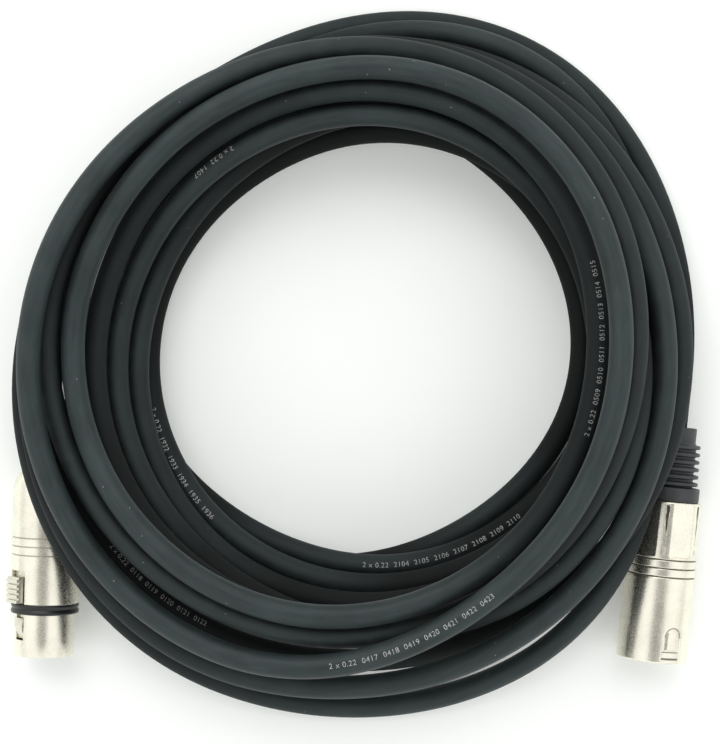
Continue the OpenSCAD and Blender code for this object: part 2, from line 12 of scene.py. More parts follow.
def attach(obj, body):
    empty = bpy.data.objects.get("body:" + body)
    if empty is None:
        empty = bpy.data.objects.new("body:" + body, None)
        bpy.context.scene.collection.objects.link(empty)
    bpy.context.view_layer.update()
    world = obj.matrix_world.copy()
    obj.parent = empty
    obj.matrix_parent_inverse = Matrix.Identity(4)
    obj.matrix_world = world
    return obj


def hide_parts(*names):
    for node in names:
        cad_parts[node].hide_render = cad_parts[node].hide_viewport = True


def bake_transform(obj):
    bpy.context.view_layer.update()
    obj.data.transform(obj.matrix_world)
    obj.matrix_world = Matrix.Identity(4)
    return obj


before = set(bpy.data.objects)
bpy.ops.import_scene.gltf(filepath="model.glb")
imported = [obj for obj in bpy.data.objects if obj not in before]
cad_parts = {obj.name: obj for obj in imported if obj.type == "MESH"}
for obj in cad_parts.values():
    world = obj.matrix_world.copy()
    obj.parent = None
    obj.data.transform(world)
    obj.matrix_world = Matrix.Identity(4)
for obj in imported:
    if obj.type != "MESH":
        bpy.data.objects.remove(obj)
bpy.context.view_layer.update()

bl_info = {
    "name": "Coiled microphone cable",
    "version": (1, 0, 0),
    "blender": (4, 5, 0),
    "location": "3D View > Sidebar > Cable",
    "description": "Dresses a wound microphone cable and its two connectors",
    "category": "Object",
}

MM = 0.001
TAU = 2 * math.pi

# ---- sizes that the solids have ----
CABLE_D = 6.2 * MM
STRAND_GAP = 0.8 * MM       # least air between strands that lie on each other
HUMP_R = 100 * MM           # bending radius of a strand where it climbs over another
BRIDGE_H = 10 * MM          # highest step that a strand bridges
TURNS = [                   # reach of each turn in mm, every 60 degrees, from the male connector on
    [86, 97, 85.5, 89.5, 94.5, 92.5],
    [78, 93.5, 80.5, 83, 84, 80],
    [84, 87, 79.5, 86.5, 90, 82],
    [78.5, 84, 80.5, 81.5, 73, 68.5],
    [69, 80.5, 80.5, 85, 84, 67],
    [64.5, 74.5, 74, 74.5, 68, 61.5],
    [60.5, 69.5, 69.5, 70, 69, 65.5],
    [62, 64.5, 63.5, 65, 66.5, 73.5],
    [71.5, 70.5, 60.5, 60, 63.5, 65],
    [67.5, 64, 59, 58, 58.5, 62],
    [69.5, 75, 66.5, 64, 54.5, 58],
    [66, 69, 69, 73.5, 60, 53.5],
    [60, 64.5, 76, 84.5, 85.5],
]
LAYERS = [0, 2, 3, 4, 12.5, 14, 13, 12, 11, 10, 9, 8, -1]
COIL_MIDDLE = np.array([1.4, 1.0]) * MM
COIL_START = -5
COIL_END = 12 * 360 + 180
STEP = 5
KNOT_STEP = 60
TURN_CHANGE = 200
PASSES = 16
EASE = 3
FREE_POINTS = 6
LEAD_OUT = 4.2 * MM
BOOT_LEN = 20 * MM
RIB_D = 15.2 * MM
END_D = 11.6 * MM
MALE = {"len": 43 * MM, "d": 18.8 * MM, "lean": 6.1, "turn": -22}
FEMALE = {"len": 49 * MM, "d": 18.4 * MM, "lean": 1.5, "turn": 46}
MALE_GROOVES = (15.2, 17.5, 19.8)       # where the grip grooves begin, in mm from the shell's rear
FEMALE_GROOVES = (16.9, 19.2, 21.5)


# ---- the cable's route ----
def reach(angle):
    """Catmull-Rom curve through the reaches in TURNS: knot i stands at i * 60 degrees."""
    knots = np.array([r for turn in TURNS for r in turn]) * MM
    u = angle / KNOT_STEP
    i = np.floor(u).astype(int)
    t = u - i
    a, b, c, d = (knots[np.clip(i + k, 0, len(knots) - 1)] for k in (-1, 0, 1, 2))
    return b + t * (c - a + t * (2 * a - 5 * b + 4 * c - d + t * (3 * (b - c) + d - a))) / 2


def window(values, half):
    """Mean of each value with its neighbours, half of them on each side."""
    i = np.clip(np.arange(len(values))[:, None] + np.arange(-half, half + 1), 0, len(values) - 1)
    return values[i].mean(axis=1)


def rear_axis(lean):
    """Direction from a connector's front to its rear, on the floor."""
    return np.array([math.sin(math.radians(lean)), math.cos(math.radians(lean))])


def over(xy, side, tip, room):
    """Height that a connector asks for where a strand crosses it: a circle of its radius plus room."""
    axis = rear_axis(side["lean"])
    total = side["len"] + BOOT_LEN
    rear = total + LEAD_OUT + CABLE_D
    along = (xy - tip) @ axis
    off = np.linalg.norm(xy - tip - np.clip(along, 0, rear)[:, None] * axis, axis=1)
    stations = [0, side["len"], side["len"] + 0.1 * MM, total, total + 0.1 * MM, rear]
    radii = [side["d"] / 2, side["d"] / 2, RIB_D / 2, END_D / 2, CABLE_D / 2, CABLE_D / 2]
    r = np.interp(along, stations, radii) + room
    return np.where(off < r, side["d"] / 2 + np.sqrt(np.maximum(r * r - off * off, 0)), 0)


def coil_route():
    """Middle line of the coil at every 5 degrees, and where each connector's tip and cable end lie.

    Plan: a circle of the eased reach round the coil's middle. Height: each strand rests on the floor,
    on a connector or on the strands of lower layers that it crosses, at the height of touching round
    sections, and bridges what it rests on in an arc of HUMP_R. This is repeated until the pile settles.
    """
    n = (COIL_END - COIL_START) // STEP + 1
    angle = COIL_START + STEP * np.arange(n, dtype=float)
    r = window(reach(angle), EASE)
    turn = np.radians(angle)
    xy = COIL_MIDDLE + r[:, None] * np.stack([np.cos(turn), np.sin(turn)], axis=1)
    ends = {}
    for key, side, end in (("male", MALE, xy[0]), ("female", FEMALE, xy[-1])):
        axis = rear_axis(side["lean"])
        join = end - CABLE_D * axis
        ends[key] = (join, join - (LEAD_OUT + side["len"] + BOOT_LEN) * axis)
    room = CABLE_D / 2 + STRAND_GAP
    on_male = over(xy, MALE, ends["male"][1], room)
    on_male[:FREE_POINTS] = 0
    on_male[:2] = MALE["d"] / 2
    on_female = over(xy, FEMALE, ends["female"][1], room)
    on_female[-FREE_POINTS:] = 0
    on_female[-2:] = FEMALE["d"] / 2
    floor = np.maximum(CABLE_D / 2, np.maximum(on_male, on_female))
    place = np.clip(np.floor((angle - TURN_CHANGE) / 360).astype(int) + 1, 0, len(LAYERS) - 1)
    layer = np.array(LAYERS)[place]
    upper, lower, rise = [], [], []
    lap = 360 // STEP
    pitch = CABLE_D + STRAND_GAP
    for k in range(-len(TURNS), len(TURNS) + 1):
        i = np.arange(n)
        j = i + k * lap
        ok = (j >= 0) & (j < n) & (k != 0)
        i, j = i[ok], j[ok]
        ok = (layer[j] < layer[i]) & (np.abs(r[i] - r[j]) < pitch)
        upper.append(i[ok])
        lower.append(j[ok])
        rise.append(np.sqrt(pitch ** 2 - (r[i[ok]] - r[j[ok]]) ** 2))
    upper, lower, rise = (np.concatenate(part) for part in (upper, lower, rise))
    pace = r.mean() * math.radians(STEP)
    span = math.ceil(math.sqrt(2 * HUMP_R * BRIDGE_H) / pace)
    z = floor.copy()
    for _ in range(PASSES):
        lifted = floor.copy()
        np.maximum.at(lifted, upper, z[lower] + rise)
        padded = np.pad(lifted, span, constant_values=-1)
        shifts = np.arange(-span, span + 1)
        near = padded[np.arange(n)[:, None] + shifts + span]
        z = (near - (shifts * pace) ** 2 / (2 * HUMP_R)).max(axis=1)
    z = window(z, 2)
    z[0], z[-1] = MALE["d"] / 2, FEMALE["d"] / 2
    return np.column_stack([xy, z]), ends


def smooth(points, parts):
    """Catmull-Rom curve through points, with so many parts between two of them."""
    n = len(points)
    u = np.arange((n - 1) * parts + 1) / parts
    i = np.minimum(np.floor(u).astype(int), n - 2)
    t = (u - i)[:, None]
    a, b, c, d = (points[np.clip(i + k, 0, n - 1)] for k in (-1, 0, 1, 2))
    return b + t * (c - a + t * (2 * a - 5 * b + 4 * c - d + t * (3 * (b - c) + d - a))) / 2


def cable_route():
    """The whole visible cable from inside the female boot to inside the male one, and both tips."""
    coil, ends = coil_route()
    hidden = 6 * MM
    lines = {}
    for key, side in (("male", MALE), ("female", FEMALE)):
        axis = np.append(rear_axis(side["lean"]), 0)
        join = np.append(ends[key][0], side["d"] / 2)
        lines[key] = np.array([join - (LEAD_OUT + hidden * k) * axis for k in (1, 0)] + [join])
    points = np.concatenate([lines["male"], coil, lines["female"][::-1]])[::-1]
    return smooth(points, 3), ends, lines


ROUTE, ENDS, LEADS = cable_route()


def seat(key):
    """Matrix from a connector's own frame (rear at z = 0, front at z = length) to where it lies."""
    side = MALE if key == "male" else FEMALE
    tip = ENDS[key][1]
    return (
        Matrix.Translation((tip[0], tip[1], side["d"] / 2))
        @ Matrix.Rotation(math.radians(-side["lean"]), 4, "Z")
        @ Matrix.Rotation(math.radians(90), 4, "X")
        @ Matrix.Translation((0, 0, -side["len"]))
        @ Matrix.Rotation(math.radians(side["turn"]), 4, "Z")
    )


# ---- meshes ----
def grid_faces(rows, cols, close_rows, close_cols):
    """Quads of a grid of rows by cols points, closed in one or both directions."""
    i, j = np.meshgrid(np.arange(rows if close_rows else rows - 1),
                       np.arange(cols if close_cols else cols - 1), indexing="ij")
    a = i * cols + j
    b = i * cols + (j + 1) % cols
    c = (i + 1) % rows * cols + (j + 1) % cols
    d = (i + 1) % rows * cols + j
    return np.stack([a, b, c, d], axis=-1).reshape(-1, 4)


def make_piece(name, points, faces, matrix=None, local=None, sharp=None):
    """Mesh object from arrays. Its own coordinates go into the attribute 'own', for materials."""
    flat = points.reshape(-1, 3)
    own = flat if local is None else local.reshape(-1, 3)
    if matrix is not None:
        m = np.array(matrix)
        flat = flat @ m[:3, :3].T + m[:3, 3]
    mesh = bpy.data.meshes.new(name)
    mesh.from_pydata(flat.tolist(), [], [list(f) for f in faces])
    mesh.attributes.new("own", "FLOAT_VECTOR", "POINT").data.foreach_set("vector", own.ravel())
    mesh.polygons.foreach_set("use_smooth", np.ones(len(mesh.polygons), bool))
    mesh.update()
    if sharp is not None:
        mesh.set_sharp_from_angle(angle=math.radians(sharp))
    piece = bpy.data.objects.new(name, mesh)
    bpy.context.scene.collection.objects.link(piece)
    return piece


def rounded(corners, radius, parts=4):
    """Closed outline with each corner replaced by a short parabola that starts radius before it."""
    p = np.array(corners, float)
    before, after = np.roll(p, 1, axis=0) - p, np.roll(p, -1, axis=0) - p
    la, lb = np.linalg.norm(before, axis=1), np.linalg.norm(after, axis=1)
    cut = np.minimum(radius, 0.45 * np.minimum(la, lb))[:, None]
    a = p + before / la[:, None] * cut
    b = p + after / lb[:, None] * cut
    t = np.linspace(0, 1, parts + 1)[:, None, None]
    bend = (1 - t) ** 2 * a + 2 * t * (1 - t) * p + t ** 2 * b
    return bend.transpose(1, 0, 2).reshape(-1, 2)


def turned(name, outline, matrix, segments=96, sharp=40):
    """Ring of revolution: the closed outline (radius, z), carried round the connector's z axis."""
    angle = TAU * np.arange(segments) / segments
    r, z = outline[:, 0], outline[:, 1]
    grid = np.stack([
        np.outer(r, np.cos(angle)), np.outer(r, np.sin(angle)), np.outer(z, np.ones(segments)),
    ], axis=-1)
    faces = grid_faces(len(r), segments, True, True)
    return make_piece(name, grid, turned_outwards(grid, faces), matrix, sharp=sharp)


def turned_outwards(grid, faces):
    """The same faces, each turned round where the whole closed surface has a negative volume."""
    v = grid.reshape(-1, 3)
    a, b, c, d = (v[faces[:, k]] for k in range(4))
    volume = (a * np.cross(b, c)).sum() + (a * np.cross(c, d)).sum()
    return faces if volume > 0 else faces[:, ::-1]


def copy_of(node, name, matrix, sharp=35):
    """Copy of a solid's triangles, joined where they meet and smooth up to an angle."""
    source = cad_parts[node]
    bm = bmesh.new()
    bm.from_mesh(source.data)
    bm.transform(source.matrix_world)
    bmesh.ops.remove_doubles(bm, verts=bm.verts, dist=0.002 * MM)
    mesh = bpy.data.meshes.new(name)
    bm.to_mesh(mesh)
    bm.free()
    points = np.empty(len(mesh.vertices) * 3)
    mesh.vertices.foreach_get("co", points)
    inverse = np.array(matrix.inverted())
    own = points.reshape(-1, 3) @ inverse[:3, :3].T + inverse[:3, 3]
    mesh.attributes.new("own", "FLOAT_VECTOR", "POINT").data.foreach_set("vector", own.ravel())
    mesh.materials.clear()
    mesh.polygons.foreach_set("use_smooth", np.ones(len(mesh.polygons), bool))
    mesh.set_sharp_from_angle(angle=math.radians(sharp))
    piece = bpy.data.objects.new(name, mesh)
    bpy.context.scene.collection.objects.link(piece)
    return piece


# ---- shader maths ----
class Value:
    """A socket of a material's nodes. Arithmetic on it adds Math nodes."""

    def __init__(self, paint, socket):
        self.paint, self.socket = paint, socket

    def math(self, operation, *others):
        node = self.paint.node("ShaderNodeMath", {"operation": operation},
                               dict(enumerate([self, *others])))
        return Value(self.paint, node.outputs[0])

    def __add__(self, other):
        return self.math("ADD", other)

    def __sub__(self, other):
        return self.math("SUBTRACT", other)

    def __mul__(self, other):
        return self.math("MULTIPLY", other)

    def __rsub__(self, other):
        return (self * -1).math("ADD", other)

    def __gt__(self, other):
        return self.math("GREATER_THAN", other)

    def between(self, low, high):
        """0 below low, 1 above high, straight in between."""
        node = self.paint.node("ShaderNodeMapRange", {"clamp": True},
                               {"Value": self, "From Min": low, "From Max": high})
        return Value(self.paint, node.outputs["Result"])

    __radd__ = __add__
    __rmul__ = __mul__


class Paint:
    """A material and the calls that add its nodes."""

    def __init__(self, name):
        self.material = bpy.data.materials.new(name)
        self.material.use_nodes = True
        self.tree = self.material.node_tree
        self.shader = self.tree.nodes["Principled BSDF"]
        self.coordinates = {}

    def put(self, socket, value):
        if isinstance(value, Value):
            self.tree.links.new(value.socket, socket)
        elif isinstance(value, bpy.types.NodeSocket):
            self.tree.links.new(value, socket)
        else:
            if socket.type == "RGBA" and len(value) == 3:
                value = (*value, 1)
            socket.default_value = value

    def node(self, kind, settings=None, inputs=None):
        made = self.tree.nodes.new(kind)
        for name, value in (settings or {}).items():
            setattr(made, name, value)
        for name, value in (inputs or {}).items():
            self.put(made.inputs[name], value)
        return made

    def place(self, source):
        """Object coordinates, or the piece's own coordinates in metres."""
        if source not in self.coordinates:
            if source == "object":
                made = self.node("ShaderNodeTexCoord").outputs["Object"]
            else:
                made = self.node("ShaderNodeAttribute", {"attribute_name": source}).outputs["Vector"]
            self.coordinates[source] = made
        return self.coordinates[source]

    def stretch(self, source, scale):
        """Coordinates multiplied on each axis."""
        node = self.node("ShaderNodeMapping", {"vector_type": "POINT"},
                         {"Vector": self.place(source), "Scale": scale})
        return node.outputs["Vector"]

    def noise(self, size, detail=3, source="object", stretch=None, rough=0.5):
        """Noise from 0 to 1 with features of about size."""
        vector = self.stretch(source, stretch) if stretch else self.place(source)
        node = self.node("ShaderNodeTexNoise", None,
                         {"Vector": vector, "Scale": 1 / size, "Detail": detail, "Roughness": rough})
        return Value(self, node.outputs[0])

    def cells(self, size, source="object"):
        """Distance to the nearest of scattered points, in their own spacing."""
        node = self.node("ShaderNodeTexVoronoi", None,
                         {"Vector": self.place(source), "Scale": 1 / size})
        return Value(self, node.outputs["Distance"])

    def mix(self, factor, a, b):
        """Colour a where factor is 0, colour b where it is 1."""
        node = self.node("ShaderNodeMix", {"data_type": "RGBA"}, {0: factor, 6: a, 7: b})
        return node.outputs[2]

    def bump(self, height, distance, strength=1.0):
        node = self.node("ShaderNodeBump", None,
                         {"Height": height, "Distance": distance, "Strength": strength})
        self.put(self.shader.inputs["Normal"], node.outputs["Normal"])
        return node

    def set(self, **values):
        for name, value in values.items():
            self.put(self.shader.inputs[name.replace("_", " ").title().replace("Ior", "IOR")], value)
        return self.material


def scaled(colour, factor):
    return tuple(min(1.0, c * factor) for c in colour)


def jacket_paint(name, colour, roughness):
    """Matt extruded jacket: faint cloudiness along the cable, fine orange peel, a little dust, and painted
    shade where strands lie under others or in crevices.
    """
    p = Paint(name)
    cloud = p.noise(14 * MM, 3)
    scuff = p.noise(0.9 * MM, 2, source="route", stretch=(0.16, 1, 1))
    dust = p.cells(5 * MM)
    speck = (dust * -1 + 0.045).between(0, 0.02)
    tone = (cloud * 0.6 + scuff * 0.4).between(0.35, 0.65)
    base = p.mix(tone, scaled(colour, 0.78), scaled(colour, 1.25))
    base = p.mix(speck * 0.55, base, (0.35, 0.35, 0.33))
    # Painted shade: the jacket turns nearly black, and rougher, where it lies under other strands or in a
    # crevice.
    painted_shade = Value(p, p.node("ShaderNodeAttribute", {"attribute_name": "painted_shade"}).outputs["Fac"])
    base = p.mix(painted_shade, base, scaled(colour, 0.1))
    peel = p.noise(0.35 * MM, 2)
    p.bump(peel * 0.6 + scuff * 0.4, 0.03 * MM, 0.5)
    return p.set(base_color=base, roughness=cloud * 0.12 + painted_shade * 0.3 + (roughness - 0.06),
                 specular_ior_level=0.26)


def metal_paint(name, colour, roughness, source="own"):
    """Satin plating: grain from the blasting, cloudy wear, and painted shade, nearly black, where the
    attribute for shade in recesses is 1.
    """
    p = Paint(name)
    grain = p.noise(0.4 * MM, 2, source=source)
    cloud = p.noise(5 * MM, 3, source=source)
    tone = (grain * 0.5 + cloud * 0.5).between(0.35, 0.65)
    base = p.mix(tone, scaled(colour, 0.88), scaled(colour, 1.06))
    # Painted shade: nearly black, and rougher, in the grooves, slits, pits and along the mark, standing in
    # for the shade in these recesses.
    recess_shade = p.node("ShaderNodeAttribute", {"attribute_name": "recess_shade"})
    recess_shade = Value(p, recess_shade.outputs["Fac"])
    base = p.mix(recess_shade * 0.92, base, (0.03, 0.03, 0.028))
    p.bump(grain, 0.015 * MM, 1.0)
    return p.set(base_color=base, metallic=1.0,
                 roughness=grain * 0.14 + cloud * 0.08 + recess_shade * 0.3 + (roughness - 0.1))


def rubber_paint(name, colour, roughness, source="own"):
    """Moulded rubber or nylon: fine spark texture of the mould and slightly paler wear."""
    p = Paint(name)
    texture = p.noise(0.25 * MM, 3, source=source)
    cloud = p.noise(4 * MM, 3, source=source)
    base = p.mix(cloud.between(0.35, 0.65), scaled(colour, 0.8), scaled(colour, 1.25))
    p.bump(texture, 0.03 * MM, 0.5)
    return p.set(base_color=base, roughness=texture * 0.14 + (roughness - 0.07))


def ink_paint(name, colour):
    """Thin pad print: patchy where the ink missed the jacket."""
    p = Paint(name)
    patch = p.noise(0.25 * MM, 3)
    base = p.mix(patch.between(0.35, 0.6), scaled(colour, 0.35), colour)
    return p.set(base_color=base, roughness=patch * 0.1 + 0.5)


def wire_paint(name, colour, twist=0.0):
    """Smooth insulation, or bare strands with a ripple across them."""
    p = Paint(name)
    cloud = p.noise(1.5 * MM, 2)
    base = p.mix(cloud.between(0.3, 0.7), scaled(colour, 0.85), scaled(colour, 1.1))
    strands = p.noise(0.3 * MM, 2)
    p.bump(strands, 0.02 * MM, 0.3 + 0.5 * twist)
    return p.set(base_color=base, roughness=cloud * 0.1 + 0.35, metallic=twist)


# ---- what a user may change ----
class CableSettings(bpy.types.PropertyGroup):
    colour: FloatVectorProperty(name="Jacket colour", description="Colour of the cable's jacket",
                                subtype="COLOR", size=3, min=0, max=1, default=(0.0235, 0.0335, 0.034))
    roughness: FloatProperty(name="Jacket roughness", description="0 is glossy, 1 is matt",
                             subtype="FACTOR", min=0, max=1, default=0.5)
    sides: IntProperty(name="Sides", description="Sides of the cable's round section",
                       min=8, max=32, default=20)
    print_colour: FloatVectorProperty(name="Print colour", description="Colour of the printed numbers",
                                      subtype="COLOR", size=3, min=0, max=1, default=(0.42, 0.43, 0.42))
    print_height: FloatProperty(name="Print height", description="Height of the printed numbers",
                                unit="LENGTH", min=0.001, max=0.003, default=1.35 * MM)


class ConnectorSettings(bpy.types.PropertyGroup):
    metal: FloatVectorProperty(name="Shell colour", description="Colour of the plated shells",
                               subtype="COLOR", size=3, min=0, max=1, default=(0.87, 0.84, 0.72))
    metal_roughness: FloatProperty(name="Shell roughness", description="0 is polished, 1 is blasted",
                                   subtype="FACTOR", min=0, max=1, default=0.27)
    boot: FloatVectorProperty(name="Boot colour", description="Colour of the rubber boots",
                              subtype="COLOR", size=3, min=0, max=1, default=(0.03, 0.032, 0.034))
    insert: FloatVectorProperty(name="Insert colour", description="Colour of the contact inserts",
                                subtype="COLOR", size=3, min=0, max=1, default=(0.022, 0.022, 0.024))
    contact: FloatVectorProperty(name="Contact colour", description="Colour of pins and sockets",
                                 subtype="COLOR", size=3, min=0, max=1, default=(0.86, 0.84, 0.78))


class StageSettings(bpy.types.PropertyGroup):
    floor: FloatVectorProperty(name="Floor colour", description="Colour of the floor",
                               subtype="COLOR", size=3, min=0, max=1, default=(0.915, 0.94, 0.91))
    lift: FloatProperty(name="Floor lift", description="Light that the floor adds for the camera",
                        min=0, max=0.5, default=0.1)
    sky: FloatProperty(name="Surroundings", description="Strength of the light from all sides",
                       min=0, max=2, default=1.2)
    lamp: FloatProperty(name="Lamp", description="Power of the soft lamp overhead",
                        unit="POWER", min=0, max=40, default=4)
    lamp_size: FloatProperty(name="Lamp size", description="Side of the soft lamp",
                             unit="LENGTH", min=0.1, max=3, default=0.9)
    camera_height: FloatProperty(name="Camera height", description="Height of the camera over the floor",
                                 unit="LENGTH", min=0.3, max=2, default=0.5)
    focal_length: FloatProperty(name="Focal length", description="Focal length on a 36 mm wide film",
                                min=20, max=300, default=90.75)


# ---- pieces ----
class CABLE_OT_camera(bpy.types.Operator):
    """Place the camera straight above the coil"""
    bl_idname = "mic_cable.camera"
    bl_label = "Camera"

    def execute(self, context):
        stage = context.scene.mic_cable_stage
        data = bpy.data.cameras.new("camera")
        data.sensor_fit = "HORIZONTAL"
        data.sensor_width = 36
        data.lens = stage.focal_length
        data.clip_start = 0.01
        camera = bpy.data.objects.new("camera", data)
        camera.location = (COIL_MIDDLE[0] - 0.65 * MM, COIL_MIDDLE[1] - 3.1 * MM, stage.camera_height)
        context.scene.collection.objects.link(camera)
        context.scene.camera = camera
        return {"FINISHED"}


def route_frame():
    """Along the route: the level direction across it, the direction up from it, and the length run."""
    tangent = np.gradient(ROUTE, axis=0)
    tangent /= np.linalg.norm(tangent, axis=1)[:, None]
    side = np.stack([tangent[:, 1], -tangent[:, 0], np.zeros(len(ROUTE))], axis=1)
    side /= np.linalg.norm(side, axis=1)[:, None]
    run = np.append(0, np.cumsum(np.linalg.norm(np.diff(ROUTE, axis=0), axis=1)))
    return side, np.cross(side, tangent), run


class CABLE_OT_cable(bpy.types.Operator):
    """Make the cable: one round tube along the whole route"""
    bl_idname = "mic_cable.cable"
    bl_label = "Cable"

    def execute(self, context):
        cable = context.scene.mic_cable_cable
        side, top, run = route_frame()
        angle = TAU * np.arange(cable.sides) / cable.sides
        across = np.cos(angle)[None, :, None] * side[:, None] + np.sin(angle)[None, :, None] * top[:, None]
        grid = ROUTE[:, None] + CABLE_D / 2 * across
        local = np.stack([
            np.repeat(run[:, None], cable.sides, axis=1),
            np.broadcast_to(CABLE_D / 2 * np.cos(angle), grid.shape[:2]),
            np.broadcast_to(CABLE_D / 2 * np.sin(angle), grid.shape[:2]),
        ], axis=-1)
        faces = grid_faces(len(ROUTE), cable.sides, False, True)
        last = len(ROUTE) * cable.sides - cable.sides
        caps = [list(range(cable.sides)), list(range(last, last + cable.sides))]
        v = grid.reshape(-1, 3)
        facing = np.cross(v[faces[0, 1]] - v[faces[0, 0]], v[faces[0, 2]] - v[faces[0, 0]])
        if facing @ (v[faces[0, 0]] - ROUTE[0]) < 0:
            faces = faces[:, ::-1]
            caps[1] = caps[1][::-1]
        else:
            caps[0] = caps[0][::-1]
        piece = make_piece("cable", grid, faces.tolist() + caps, local=local)
        mesh = piece.data
        mesh.attributes.new("route", "FLOAT_VECTOR", "POINT").data.foreach_set("vector", local.ravel())
        # Painted shade for the jacket: the larger of the shade under other strands and the shade in crevices.
        jacket_shade = np.maximum(0.92 * shade_under_strands(ROUTE, run)[:, None], shade_in_crevices(grid, ROUTE, run)).ravel()
        mesh.attributes.new("painted_shade", "FLOAT", "POINT").data.foreach_set("value", jacket_shade)
        mesh.materials.append(jacket_paint("jacket", cable.colour, cable.roughness))
        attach(piece, "cable")
        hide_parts("cable_coil", "male_lead", "female_lead")
        return {"FINISHED"}


def shade_under_strands(points, run):
    """How far each point of the route lies under other strands, from 0 to 1. It is painted shade: there the
    jacket is darkened nearly to black, standing in for the shade that the strands on top cast."""
    reach_out, near = 9 * MM, 30 * MM
    others, at = points[::3], run[::3]
    painted_shade = np.empty(len(points))
    for part in np.array_split(np.arange(len(points)), 8):
        gap = points[part][:, None] - others[None]
        side = np.clip(1 - np.hypot(gap[..., 0], gap[..., 1]) / reach_out, 0, 1)
        above = np.clip((-gap[..., 2] - 2 * MM) / (6 * MM), 0, 1)
        apart = np.abs(run[part][:, None] - at[None]) > near
        painted_shade[part] = (side * above * apart).max(axis=1)
    return np.clip(window(painted_shade, 6) * 1.6, 0, 1)


def shade_in_crevices(grid, points, run):
    """Painted shade in the crevices between strands, from 0 to 1, by how close another strand lies to each
    point of the jacket:
    a point one diameter out from the route, past the jacket point, is measured to the nearest strand that
    isn't its own."""
    outward = points[:, None] + (grid - points[:, None]) * 2
    others, at = points[::3], run[::3]
    near = np.empty(grid.shape[:2])
    for part in np.array_split(np.arange(len(points)), 40):
        gap = np.linalg.norm(outward[part][:, :, None] - others[None, None], axis=-1)
        own = np.abs(run[part][:, None] - at[None]) < 30 * MM
        near[part] = (gap + own[:, None, :]).min(axis=-1)
    return 0.9 * np.clip(1.15 - near / (1.1 * CABLE_D), 0, 1)


# Where the numbers are printed: turn, bearing where the line starts, quarter turn up the jacket, text.
PRINTS = [
    (4, 264, 84, "2 x 0.22  0417  0418  0419  0420  0421  0422  0423"),
    (10, 270, 80, "2 x 0.22  2104  2105  2106  2107  2108  2109  2110"),
    (5, 341, 100, "2 x 0.22  0509  0510  0511  0512  0513  0514  0515"),
    (1, 216, 60, "2 x 0.22  0118  0119  0120  0121  0122"),
    (9, 193, 84, "2 x 0.22  1932  1933  1934  1935  1936"),
    (7, 121, 110, "2 x 0.22  1407"),
]


class CABLE_OT_print(bpy.types.Operator):
    """Print running numbers on the jacket"""
    bl_idname = "mic_cable.print"
    bl_label = "Print"

    def execute(self, context):
        cable = context.scene.mic_cable_cable
        height = cable.print_height
        side, top, run = route_frame()
        offset = ROUTE[:, :2] - COIL_MIDDLE
        swept = np.unwrap(np.arctan2(offset[:, 1], offset[:, 0]))
        swept = np.degrees(swept - swept[len(swept) - 1 - 9]) + COIL_START
        radius = CABLE_D / 2 + 0.025 * MM
        points, faces = [], []
        for turn, bearing, lean, text in PRINTS:
            flat, tris = flat_text(text, height)
            start = np.interp(-(turn * 360 + bearing), -swept, run)
            s = start - flat[:, 0]
            around = math.radians(lean) - (flat[:, 1] - height / 2) / radius
            middle, out, up = (
                np.stack([np.interp(s, run, line[:, k]) for k in range(3)], axis=1)
                for line in (ROUTE, side, top)
            )
            across = np.cos(around)[:, None] * out + np.sin(around)[:, None] * up
            faces.append(tris + sum(len(p) for p in points))
            points.append(middle + radius * across)
        piece = make_piece("jacket_print", np.concatenate(points), np.concatenate(faces))
        piece.data.materials.append(ink_paint("print_ink", cable.print_colour))
        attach(piece, "cable")
        return {"FINISHED"}


def flat_text(text, height):
    """Triangles of a line of text, cut across every 0.3 mm so that it can lie round the jacket."""
    curve = bpy.data.curves.new("line", "FONT")
    curve.body = text
    curve.size = height / 0.7
    curve.space_character = 1.1
    item = bpy.data.objects.new("line", curve)
    bpy.context.scene.collection.objects.link(item)
    bpy.context.view_layer.update()
    mesh = item.evaluated_get(bpy.context.evaluated_depsgraph_get()).to_mesh()
    bm = bmesh.new()
    bm.from_mesh(mesh)
    for y in np.arange(-height / 2, height * 1.5, 0.3 * MM):
        whole = bm.verts[:] + bm.edges[:] + bm.faces[:]
        bmesh.ops.bisect_plane(bm, geom=whole, plane_co=(0, y, 0), plane_no=(0, 1, 0))
    bmesh.ops.triangulate(bm, faces=bm.faces)
    bm.verts.ensure_lookup_table()
    points = np.array([v.co for v in bm.verts])
    faces = np.array([[v.index for v in f.verts] for f in bm.faces])
    bm.free()
    bpy.data.objects.remove(item)
    bpy.data.curves.remove(curve)
    return points, faces


def boot_outline(collar_d):
    """Outline of a boot: end collar, ribs that grow towards the shell, smooth collar, the spigot that
    goes into the shell with its pocket for the chuck, and the bore."""
    collar_len, end_len, ribs, rib_w, core_d = 3.9, 4.1, 6, 1.0, 12.2
    length = BOOT_LEN / MM
    pitch = (length - collar_len - end_len) / ribs
    outline = [(3.2, -length + 0.6), (4.1, -length), (END_D / MM / 2, -length),
               (END_D / MM / 2, -length + end_len), (core_d / 2, -length + end_len + 0.4)]
    for i in range(ribs):
        z = -length + end_len + (i + 0.5) * pitch
        r = RIB_D / MM / 2 - 0.06 * (ribs - i)
        outline += [(core_d / 2, z - rib_w / 2 - 0.12), (r, z - rib_w / 2 + 0.06),
                    (r, z + rib_w / 2 - 0.06), (core_d / 2, z + rib_w / 2 + 0.12)]
    outline += [(core_d / 2, -collar_len - 0.1), (collar_d / 2, -collar_len + 0.1),
                (collar_d / 2, 0)]
    spigot_r, spigot_len, pocket_r, pocket_z, bore_r = 6.3, 5, 5.3, -3.2, 3.2
    spigot = [(spigot_r, 0), (spigot_r, spigot_len), (pocket_r, spigot_len), (pocket_r, pocket_z),
              (bore_r, pocket_z)]
    return rounded(np.array(outline + spigot) * MM, 0.35 * MM)


